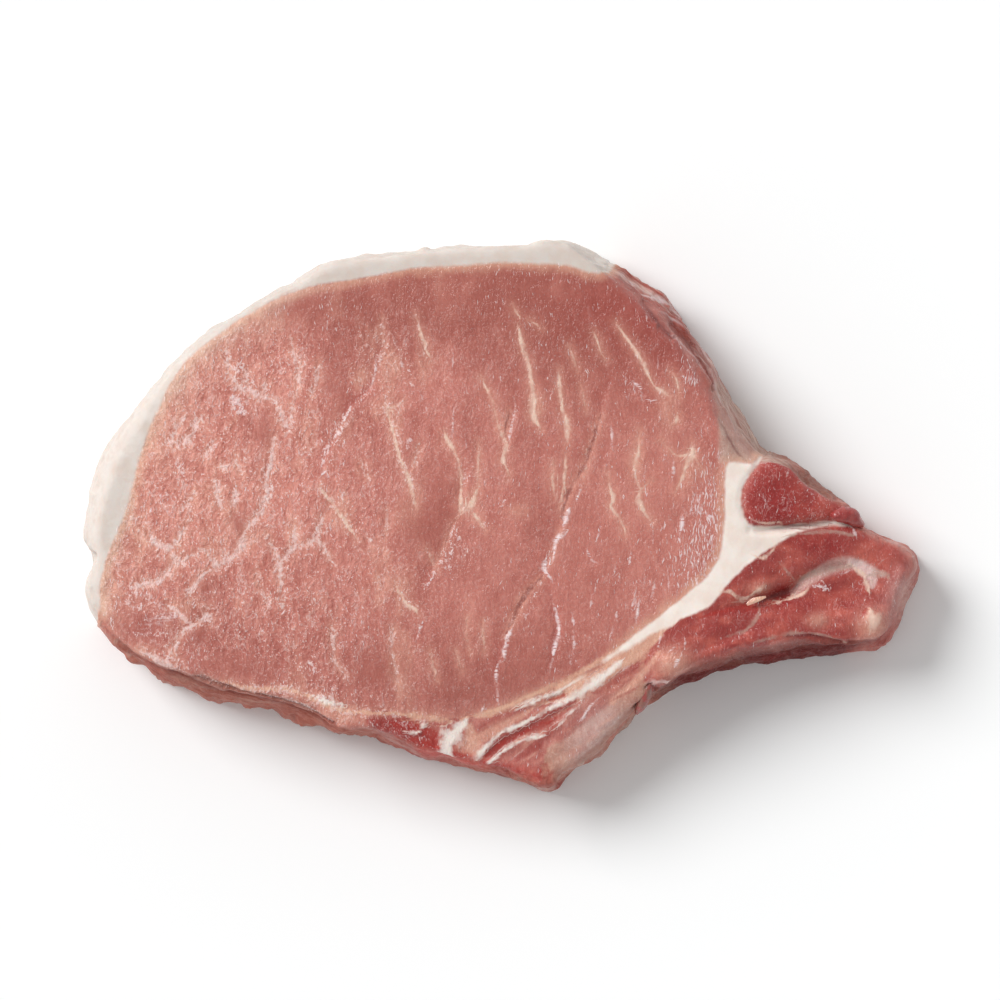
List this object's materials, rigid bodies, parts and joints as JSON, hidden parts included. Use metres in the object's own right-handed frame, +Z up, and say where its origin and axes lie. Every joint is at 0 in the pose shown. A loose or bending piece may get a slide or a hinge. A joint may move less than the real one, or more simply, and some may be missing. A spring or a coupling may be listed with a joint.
{
  "type": "raw pork chop",
  "caption": "Raw bone-in pork chop: a thick slice with a marbled loin eye, a fat cap round its back, a fat seam, a rib side and a bone tip, lying cut face up.",
  "frame": {"origin": "on the flat underside, below the middle of the chop's box", "axes": "+Z up, out of the cut face; +X along the chop's length, from the fat end to the rib meat; +Y towards the fat cap on the back of the loin"},
  "size_m": [0.15, 0.0976, 0.0236],
  "materials": {
    "loin_lean": "moist pink muscle cut across the grain, with pale marbling",
    "dark_lean": "moist dark red muscle",
    "rib_lean": "moist red muscle with pale membranes",
    "fat": "firm creamy white fat, faintly waxy",
    "bone": "damp beige cartilage and bone with a little blood"
  },
  "bodies": {
    "root": {"loin_eye": "loin_lean", "side_muscle": "dark_lean", "rib_meat": "rib_lean", "lower_strip": "rib_lean", "bone_tip": "bone", "fat_cap": "fat", "fat_seam": "fat"}
  },
  "joints": []
}
